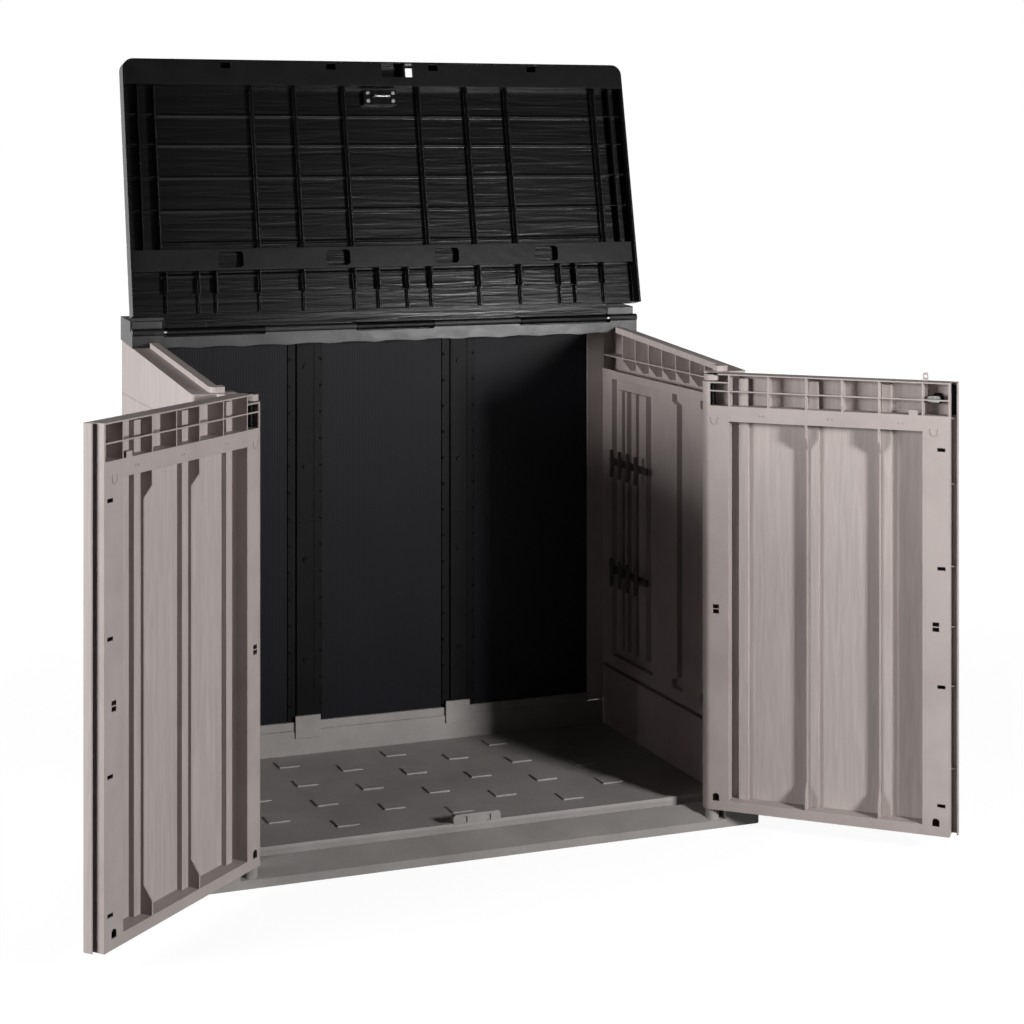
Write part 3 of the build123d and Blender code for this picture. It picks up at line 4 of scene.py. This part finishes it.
import bpy
import numpy as np
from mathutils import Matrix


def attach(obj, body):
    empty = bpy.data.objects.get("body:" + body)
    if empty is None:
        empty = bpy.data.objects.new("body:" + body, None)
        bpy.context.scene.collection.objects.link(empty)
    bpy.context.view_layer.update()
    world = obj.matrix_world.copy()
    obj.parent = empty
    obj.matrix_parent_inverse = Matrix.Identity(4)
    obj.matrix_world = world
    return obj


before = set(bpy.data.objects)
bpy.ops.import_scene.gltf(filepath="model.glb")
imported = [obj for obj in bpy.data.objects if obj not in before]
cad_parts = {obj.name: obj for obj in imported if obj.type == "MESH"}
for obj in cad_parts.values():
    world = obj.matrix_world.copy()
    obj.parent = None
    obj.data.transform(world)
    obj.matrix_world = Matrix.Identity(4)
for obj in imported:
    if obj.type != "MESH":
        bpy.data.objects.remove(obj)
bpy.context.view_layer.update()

# Base panel: one injection-moulded polypropylene floor with tread pads, entry ramp and sills.
# It lies flat on the ground, and the walls, back sheets and door pivots stand in it.
FLOOR_COLOUR = "#999492"
FLOOR_DARK = "#8A8684"
FLOOR_GRAIN = 0.006      # the real spark-eroded grain is under 1 mm; drawn coarser so that it shows
FLOOR_MOTTLE = 0.18
ROUNDED_EDGE = 0.0015    # moulded edges catch a thin line of light


def linear(code):
    """sRGB hex to linear: c / 12.92 in the toe, ((c + 0.055) / 1.055) to the power 2.4 above it."""
    srgb = np.array([int(code[i:i + 2], 16) for i in (1, 3, 5)]) / 255
    high = ((srgb + 0.055) / 1.055) ** 2.4
    return (*np.where(srgb <= 0.04045, srgb / 12.92, high).tolist(), 1.0)


def add(tree, kind, values=None, links=None, **settings):
    """Add one shader node with its settings, socket values and incoming links."""
    node = tree.nodes.new("ShaderNode" + kind)
    for name, setting in settings.items():
        setattr(node, name, setting)
    for name, value in (values or {}).items():
        node.inputs[name].default_value = value
    for name, source in (links or {}).items():
        tree.links.new(source, node.inputs[name])
    return node


def start(name, roughness, gloss=0.5):
    """Empty material with its tree, its shader and its Object coordinates; gloss is the specular level."""
    material = bpy.data.materials.new(name)
    material.use_nodes = True
    tree = material.node_tree
    shader = tree.nodes["Principled BSDF"]
    shader.inputs["Roughness"].default_value = roughness
    shader.inputs["Specular IOR Level"].default_value = gloss
    place = add(tree, "TexCoord").outputs["Object"]
    return material, tree, shader, place


def wear(material, *nodes):
    """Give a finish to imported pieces."""
    for node in nodes:
        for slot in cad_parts[node].material_slots:
            slot.material = material


def two_tone(tree, shader, factor, dark, light, low=0.35, high=0.65):
    """Base colour runs from dark to light as a pattern goes from low to high."""
    ramp = add(tree, "ValToRGB", links={"Fac": factor})
    ramp.color_ramp.elements[0].position = low
    ramp.color_ramp.elements[0].color = linear(dark)
    ramp.color_ramp.elements[1].position = high
    ramp.color_ramp.elements[1].color = linear(light)
    tree.links.new(ramp.outputs["Color"], shader.inputs["Base Color"])


def relief(tree, shader, edge, *layers):
    """Rounded edges first, then one bump for each (height pattern, depth in metres)."""
    normal = add(tree, "Bevel", {"Radius": edge}, samples=4).outputs["Normal"]
    for height, depth in layers:
        bump = add(tree, "Bump", {"Distance": depth, "Strength": 1.0}, {"Height": height, "Normal": normal})
        normal = bump.outputs["Normal"]
    tree.links.new(normal, shader.inputs["Normal"])


# Moulded polypropylene, spark-eroded matt: soft broad sheen, faint mottling from the flow of the melt.
floor_resin, tree, shader, place = start("floor_polypropylene_matt", 0.62, 0.3)
mottle = add(tree, "TexNoise", {"Scale": 1 / FLOOR_MOTTLE, "Detail": 5.0, "Roughness": 0.65},
             {"Vector": place})
two_tone(tree, shader, mottle.outputs["Fac"], FLOOR_DARK, FLOOR_COLOUR)
grain = add(tree, "TexNoise", {"Scale": 1 / FLOOR_GRAIN, "Detail": 2.0}, {"Vector": place})
relief(tree, shader, ROUNDED_EDGE, (grain.outputs["Fac"], 0.0005))
wear(floor_resin, "floor_panel")

# Sill end fillers: two small blocks of the base resin behind the rear sill, under the corner strips.
# They close the slot below each back sheet's outer edge and stand on the floor panel.
FILLER_X = (0.5535, 0.593)
FILLER_Y = (0.338, 0.3424)
FILLER_Z = (0.042, 0.0998)

for side, name in ((-1, "sill_filler_left"), (1, "sill_filler_right")):
    corners = np.array([(side * x, y, z) for z in FILLER_Z for y in FILLER_Y for x in FILLER_X])
    faces = np.array([(0, 2, 3, 1), (4, 5, 7, 6), (0, 1, 5, 4), (2, 6, 7, 3), (0, 4, 6, 2), (1, 3, 7, 5)])
    mesh = bpy.data.meshes.new(name)
    mesh.from_pydata(corners.tolist(), [], faces[:, ::side].tolist())
    mesh.materials.append(floor_resin)
    filler = bpy.data.objects.new(name, mesh)
    bpy.context.collection.objects.link(filler)
    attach(filler, "shed")

# Back wall: three dark fluted sheets that slide into the rear sill and the posts.
# They are extruded polypropylene, matt, with a bluish cast and fine upright flutes.
SHEET_COLOUR = "#0E0E15"
SHEET_DARK = "#07070C"
FLUTE = 0.006            # real flutes are about 4 mm apart; drawn a little wider so that they show

# Matt black with hardly any gloss, so that the recess behind the doors stays deep.
sheet_black, tree, shader, place = start("extruded_fluted_sheet_black", 0.5, 0.12)
flutes = add(tree, "TexWave", {"Scale": 2 * np.pi / FLUTE / 20, "Distortion": 0.0}, {"Vector": place},
             wave_type="BANDS", bands_direction="X", wave_profile="SIN")
cloud = add(tree, "TexNoise", {"Scale": 1 / 0.25, "Detail": 4.0, "Roughness": 0.6}, {"Vector": place})
two_tone(tree, shader, cloud.outputs["Fac"], SHEET_DARK, SHEET_COLOUR)
relief(tree, shader, ROUNDED_EDGE, (flutes.outputs["Fac"], 0.0002))
wear(sheet_black, "back_sheet_left", "back_sheet_middle", "back_sheet_right")

# Back posts, cam lock body and edge catch: satin black injection mouldings.
# The posts clamp the sheet edges and are screwed through their crowns.
POST_COLOUR = "#0D0D0F"
POST_DARK = "#070709"

black_resin, tree, shader, place = start("black_polypropylene_satin", 0.45, 0.08)
cloud = add(tree, "TexNoise", {"Scale": 1 / 0.05, "Detail": 4.0}, {"Vector": place})
two_tone(tree, shader, cloud.outputs["Fac"], POST_DARK, POST_COLOUR)
grain = add(tree, "TexNoise", {"Scale": 1 / 0.005, "Detail": 2.0}, {"Vector": place})
relief(tree, shader, ROUNDED_EDGE, (grain.outputs["Fac"], 0.0003))
wear(black_resin, "back_post_left_lower", "back_post_left_upper", "back_post_right_lower",
     "back_post_right_upper", "cam_lock_body", "edge_catch")

# Post screws, door pivot pins and hasp plate: black-oxide steel.
# The screws are driven through the post crowns; the pins stand in the base sockets and wall brackets.
BLACK_OXIDE = "#1B1B1C"
BLACK_OXIDE_DARK = "#0C0C0D"

black_steel, tree, shader, place = start("black_oxide_steel", 0.45)
shader.inputs["Metallic"].default_value = 1.0
scuff = add(tree, "TexNoise", {"Scale": 1 / 0.004, "Detail": 3.0}, {"Vector": place})
two_tone(tree, shader, scuff.outputs["Fac"], BLACK_OXIDE_DARK, BLACK_OXIDE)
relief(tree, shader, 0.0005, (scuff.outputs["Fac"], 0.0001))
wear(black_steel, "post_screws", "door_left_pins", "door_right_pins", "hasp_plate")

# Side walls and door skins: taupe injection mouldings with upright planks and a shallow wood grain.
# The wall shell carries the front stile, the sloping top ledge with its raised rim, and the door bracket.
TAUPE_PLANK = "#AEA4A1"
TAUPE_PLANK_DARK = "#A29895"
STREAK = 0.009           # width of a moulded grain streak
STREAK_LENGTH = 0.16
PORE = 0.0035            # real pores are finer than 1 mm; drawn coarser so that they show

wall_resin, tree, shader, place = start("taupe_polypropylene_wood_grain", 0.55, 0.35)
upright = add(tree, "Mapping", {"Scale": (1 / STREAK, 1 / STREAK, 1 / STREAK_LENGTH)}, {"Vector": place})
streak = add(tree, "TexNoise", {"Scale": 1.0, "Detail": 4.0, "Roughness": 0.6, "Distortion": 0.8},
             {"Vector": upright.outputs["Vector"]})
pores = add(tree, "TexNoise", {"Scale": 1 / PORE, "Detail": 2.0}, {"Vector": place})
two_tone(tree, shader, streak.outputs["Fac"], TAUPE_PLANK_DARK, TAUPE_PLANK)
relief(tree, shader, ROUNDED_EDGE, (streak.outputs["Fac"], 0.0002), (pores.outputs["Fac"], 0.0002))
wear(wall_resin, "wall_left_shell", "wall_right_shell", "door_left_skin", "door_right_skin")

# Inner panels and door frames: the same taupe resin off a plain spark-eroded tool.
# The panels snap into the wall shells and the frames snap to the door skins.
TAUPE = "#A69C99"
TAUPE_DARK = "#9A908D"

frame_resin, tree, shader, place = start("taupe_polypropylene_matt", 0.5, 0.35)
mottle = add(tree, "TexNoise", {"Scale": 1 / 0.12, "Detail": 5.0, "Roughness": 0.6}, {"Vector": place})
two_tone(tree, shader, mottle.outputs["Fac"], TAUPE_DARK, TAUPE, 0.25, 0.6)
pores = add(tree, "TexNoise", {"Scale": 1 / PORE, "Detail": 2.0}, {"Vector": place})
relief(tree, shader, ROUNDED_EDGE, (pores.outputs["Fac"], 0.0002))
wear(frame_resin, "wall_left_panel", "wall_right_panel", "door_left_frame", "door_right_frame", "lock_tongue")

# Tool racks: a bar with hooks each, on the inner panel of the right wall.
# They are the same taupe resin as the wall, coloured much darker all over as painted shade for the shadow on
# the bar under the hooks, so that bar and hooks stand out from the wall behind them.
# Both rack tones are painted shade: the real racks have the wall's taupe colour.
RACK_SHADED_TAUPE = "#4C4441"
RACK_SHADED_TAUPE_DARK = "#3B3431"

rack_painted_shade_resin, tree, shader, place = start("taupe_polypropylene_painted_shade", 0.5, 0.35)
mottle = add(tree, "TexNoise", {"Scale": 1 / 0.03, "Detail": 4.0}, {"Vector": place})
two_tone(tree, shader, mottle.outputs["Fac"], RACK_SHADED_TAUPE_DARK, RACK_SHADED_TAUPE)
pores = add(tree, "TexNoise", {"Scale": 1 / PORE, "Detail": 2.0}, {"Vector": place})
relief(tree, shader, ROUNDED_EDGE, (pores.outputs["Fac"], 0.0002))
wear(rack_painted_shade_resin, "tool_rack_lower", "tool_rack_upper")

# Marks on the door frames: a raised U on each stile and pairs of pips on the head rail.
# They are ridges of the same moulding, about a millimetre high, and stand on the frame's inner face.
PIVOT = (0.532, -0.358)
HINGE_EDGE_X = 0.550
INNER_FACE_Y = -0.3375
DOOR_OPEN = radians(138.5)
U_MARKS = ((0.029, 0.906), (0.504, 0.904))
U_HALF, U_LEG, U_RIDGE = 0.0075, 0.009, 0.0016
PIPS = ((0.130, 0.921), (0.139, 0.921), (0.280, 0.921), (0.289, 0.921), (0.430, 0.921), (0.439, 0.921))
PIP_R, PIP_RISE = 0.0024, 0.0014


def on_door(side, a, lift, z):
    """Point on an open door: a in from the hinge edge, lift off the inner face; the left door is mirrored."""
    x = HINGE_EDGE_X - a - PIVOT[0]
    y = INNER_FACE_Y + lift - PIVOT[1]
    turned_x = PIVOT[0] + x * np.cos(DOOR_OPEN) - y * np.sin(DOOR_OPEN)
    turned_y = PIVOT[1] + x * np.sin(DOOR_OPEN) + y * np.cos(DOOR_OPEN)
    return np.stack([side * turned_x, turned_y, z + 0 * x], -1)


def grid_faces(rows, columns):
    """Quads of a grid of points that closes on itself along its columns, and a face over each end row."""
    i, j = np.meshgrid(np.arange(rows - 1), np.arange(columns), indexing="ij")
    k = (j + 1) % columns
    quads = np.stack([i * columns + j, i * columns + k, (i + 1) * columns + k, (i + 1) * columns + j], -1)
    first = np.arange(columns)
    last = first + (rows - 1) * columns
    return quads.reshape(-1, 4).tolist() + [first[::-1].tolist(), last.tolist()]


def u_mark(side, a0, z0):
    """Round ridge swept along a U: down one leg, half a circle, up the other; it tapers off at each end."""
    arc = np.linspace(np.pi, 2 * np.pi, 17)
    leg = np.linspace(U_LEG, 0, 5)[:-1]
    line_a = np.concatenate([np.full(4, -U_HALF), U_HALF * np.cos(arc), np.full(4, U_HALF)])
    line_z = np.concatenate([leg, U_HALF * np.sin(arc), leg[::-1]])
    along = np.stack([np.gradient(line_a), np.gradient(line_z)], 1)
    along /= np.linalg.norm(along, axis=1, keepdims=True)
    size = U_RIDGE * np.concatenate([[0.02], np.ones(len(line_a) - 2), [0.02]])[:, None]
    ring = np.linspace(2 * np.pi, 0, 9)[None, :-1]
    a = a0 + line_a[:, None] + size * np.cos(ring) * along[:, 1:]
    z = z0 + line_z[:, None] - size * np.cos(ring) * along[:, :1]
    points = on_door(side, a, size * np.sin(ring), z)
    return points.reshape(-1, 3), grid_faces(*points.shape[:2])


def pip(side, a0, z0):
    """Low dome: rings that shrink as the cosine while they rise as the sine of the height angle."""
    up = np.linspace(-0.3, np.pi / 2 - 0.02, 6)[:, None]
    ring = np.linspace(0, 2 * np.pi, 13)[None, :-1]
    points = on_door(side, a0 + PIP_R * np.cos(up) * np.cos(ring), PIP_RISE * np.sin(up) + 0 * ring,
                     z0 + PIP_R * np.cos(up) * np.sin(ring))
    return points.reshape(-1, 3), grid_faces(*points.shape[:2])


for side, body in ((-1, "door_left"), (1, "door_right")):
    pieces = [u_mark(side, a, z) for a, z in U_MARKS] + [pip(side, a, z) for a, z in PIPS]
    offsets = np.cumsum([0] + [len(points) for points, faces in pieces[:-1]])
    points = np.concatenate([points for points, faces in pieces])
    faces = [[corner + offset for corner in face[::side]]
             for (_, piece_faces), offset in zip(pieces, offsets.tolist()) for face in piece_faces]
    mesh = bpy.data.meshes.new(body + "_marks")
    mesh.from_pydata(points.tolist(), [], faces)
    mesh.polygons.foreach_set("use_smooth", np.ones(len(mesh.polygons), bool))
    mesh.materials.append(frame_resin)
    marks = bpy.data.objects.new(body + "_marks", mesh)
    bpy.context.collection.objects.link(marks)
    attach(marks, body)

# Lid shell: a black injection moulding with wood-grained planks outside and ribs inside.
# It turns on a rod in the beam's knuckles; the grain shows through as long soft ripples in its gloss.
LID_COLOUR = "#0C0B0C"
LID_DARK = "#070707"
RIPPLE = 0.014
RIPPLE_LENGTH = 0.22

gloss_black, tree, shader, place = start("black_polypropylene_rippled_gloss", 0.26, 0.2)
lengthways = add(tree, "Mapping", {"Scale": (1 / RIPPLE_LENGTH, 1 / RIPPLE, 1 / RIPPLE)}, {"Vector": place})
streak = add(tree, "TexNoise", {"Scale": 1.0, "Detail": 3.0, "Roughness": 0.5, "Distortion": 0.6},
             {"Vector": lengthways.outputs["Vector"]})
two_tone(tree, shader, streak.outputs["Fac"], LID_DARK, LID_COLOUR)
relief(tree, shader, ROUNDED_EDGE, (streak.outputs["Fac"], 0.001))
wear(gloss_black, "lid_shell")

# Lid rails: the front rail runs along the lid's free edge and the rear rail across its underside.
# They are the same black resin from smooth tools, with the faint haze of a satin polish.
RAIL_COLOUR = "#0E0E0F"

smooth_black, tree, shader, place = start("black_polypropylene_smooth", 0.36, 0.16)
haze = add(tree, "TexNoise", {"Scale": 1 / 0.06, "Detail": 4.0}, {"Vector": place})
two_tone(tree, shader, haze.outputs["Fac"], LID_DARK, RAIL_COLOUR)
relief(tree, shader, ROUNDED_EDGE, (haze.outputs["Fac"], 0.0008))
wear(smooth_black, "lid_front_rail", "lid_rear_rail")

# Hinge beam and its end caps: they join the tops of the walls and carry the lid's knuckles.
# They are black resin with a brighter polish, so that the front face takes the key light.
BEAM_COLOUR = "#161617"
BEAM_DARK = "#0C0C0D"

beam_black, tree, shader, place = start("black_polypropylene_polished", 0.32, 0.42)
haze = add(tree, "TexNoise", {"Scale": 1 / 0.09, "Detail": 3.0}, {"Vector": place})
two_tone(tree, shader, haze.outputs["Fac"], BEAM_DARK, BEAM_COLOUR)
relief(tree, shader, ROUNDED_EDGE, (haze.outputs["Fac"], 0.0015))
wear(beam_black, "hinge_beam", "beam_cap_left", "beam_cap_right")

# Hinge rod, hasp bolts and staple, and lock cam: zinc-plated steel, bright with a fine spangle.
# The rod runs through the knuckles of beam and lid, and the staple is bolted under the lid.
ZINC = "#C2C2BE"
ZINC_DARK = "#9A9A98"

zinc, tree, shader, place = start("zinc_plated_steel", 0.32)
shader.inputs["Metallic"].default_value = 1.0
spangle = add(tree, "TexNoise", {"Scale": 1 / 0.006, "Detail": 4.0}, {"Vector": place})
two_tone(tree, shader, spangle.outputs["Fac"], ZINC_DARK, ZINC)
relief(tree, shader, 0.0006, (spangle.outputs["Fac"], 0.0001))
wear(zinc, "lid_hinge_rod", "hasp_bolts", "hasp_staple", "cam_lock_cam")

# Studio: a pale self-lit table, a small near key at the right, soft boxes at the left and behind,
# and a white horizon that shows in the background and the gloss but adds no fill light.
TABLE_RADIUS = 400.0
TABLE_SIDES = 96
TABLE_Z = -0.0006        # just under the base, so that the two faces don't fight
turn = np.linspace(0, 2 * np.pi, TABLE_SIDES + 1)[:-1]
rim = np.stack([TABLE_RADIUS * np.cos(turn), TABLE_RADIUS * np.sin(turn), np.full(TABLE_SIDES, TABLE_Z)], 1)
table = bpy.data.meshes.new("studio_table")
table.from_pydata(rim.tolist(), [], [list(range(TABLE_SIDES))])
studio_table = bpy.data.objects.new("studio_table", table)
bpy.context.collection.objects.link(studio_table)
pale_table, tree, shader, place = start("pale_table", 0.9, 0.0)
haze = add(tree, "TexNoise", {"Scale": 0.8, "Detail": 2.0}, {"Vector": place})
two_tone(tree, shader, haze.outputs["Fac"], "#5C5C5C", "#606060")
shader.inputs["Emission Color"].default_value = (1.0, 1.0, 1.0, 1.0)
distance = add(tree, "VectorMath", links={0: place}, operation="LENGTH")
glow = add(tree, "MapRange", {"From Min": 1.5, "From Max": 6.0, "To Min": 0.92, "To Max": 1.02},
           {"Value": distance.outputs["Value"]})
tree.links.new(glow.outputs["Result"], shader.inputs["Emission Strength"])
table.materials.append(pale_table)
studio_table.visible_diffuse = False


def soft_box(name, azimuth, elevation, distance, width, height, power, aim=(0, 0, 0.75)):
    """Area light on a sphere round the aim point, turned to face it."""
    lamp = bpy.data.lights.new(name, "AREA")
    lamp.shape = "RECTANGLE"
    lamp.size = width
    lamp.size_y = height
    lamp.energy = power
    az, el = radians(azimuth), radians(elevation)
    away = np.array([np.sin(az) * np.cos(el), -np.cos(az) * np.cos(el), np.sin(el)])
    box = bpy.data.objects.new(name, lamp)
    box.location = np.array(aim) + distance * away
    box.rotation_euler = (radians(90) - el, 0, az)
    bpy.context.collection.objects.link(box)
    return box


soft_box("key_box", azimuth=27, elevation=10, distance=3.8, width=0.5, height=0.5, power=126)
soft_box("left_box", azimuth=-78, elevation=10, distance=6.0, width=2.4, height=1.6, power=400)
back_box = soft_box("back_box", azimuth=165, elevation=14, distance=6.0, width=2.4, height=1.6, power=220)
back_box.visible_glossy = False

# Sky: white from just under the horizon to above the picture's top edge, dark higher up and below.
world = bpy.data.worlds.new("white_horizon")
world.use_nodes = True
tree = world.node_tree
up = add(tree, "SeparateXYZ", links={"Vector": add(tree, "TexCoord").outputs["Generated"]})
height = add(tree, "MapRange", {"From Min": -0.2, "From Max": 0.2}, {"Value": up.outputs["Z"]})
ramp = add(tree, "ValToRGB", links={"Fac": height.outputs["Result"]})
ramp.color_ramp.elements[1].position = 0.85
ramp.color_ramp.elements[1].color = (0.08, 0.08, 0.08, 1.0)
ramp.color_ramp.elements[0].position = 0.45
ramp.color_ramp.elements[0].color = (0.06, 0.06, 0.06, 1.0)
for position in (0.485, 0.71):
    ramp.color_ramp.elements.new(position).color = (1.0, 1.0, 1.0, 1.0)
tree.links.new(ramp.outputs["Color"], tree.nodes["Background"].inputs["Color"])
world.cycles_visibility.diffuse = False
bpy.context.scene.world = world
bpy.context.scene.view_settings.view_transform = "Standard"

# Camera: level, as far off and as long as the photograph's perspective asks, shifted to its framing.
# The field of view comes from the sensor's height; the narrow width only sets how far views from
# other sides stand back, so that they hold the whole shed in spite of the shift.
lens = bpy.data.cameras.new("camera")
lens.sensor_fit = "VERTICAL"
lens.sensor_height = 36.0
lens.sensor_width = 15.6
lens.lens = 71.97
lens.shift_x = 0.0924
lens.shift_y = -0.359
lens.clip_end = 1000.0
camera = bpy.data.objects.new("camera", lens)
camera.location = (-1.6607, -4.4071, 1.5178)
camera.rotation_euler = (radians(90), 0, -0.35336)
bpy.context.collection.objects.link(camera)
bpy.context.scene.camera = camera
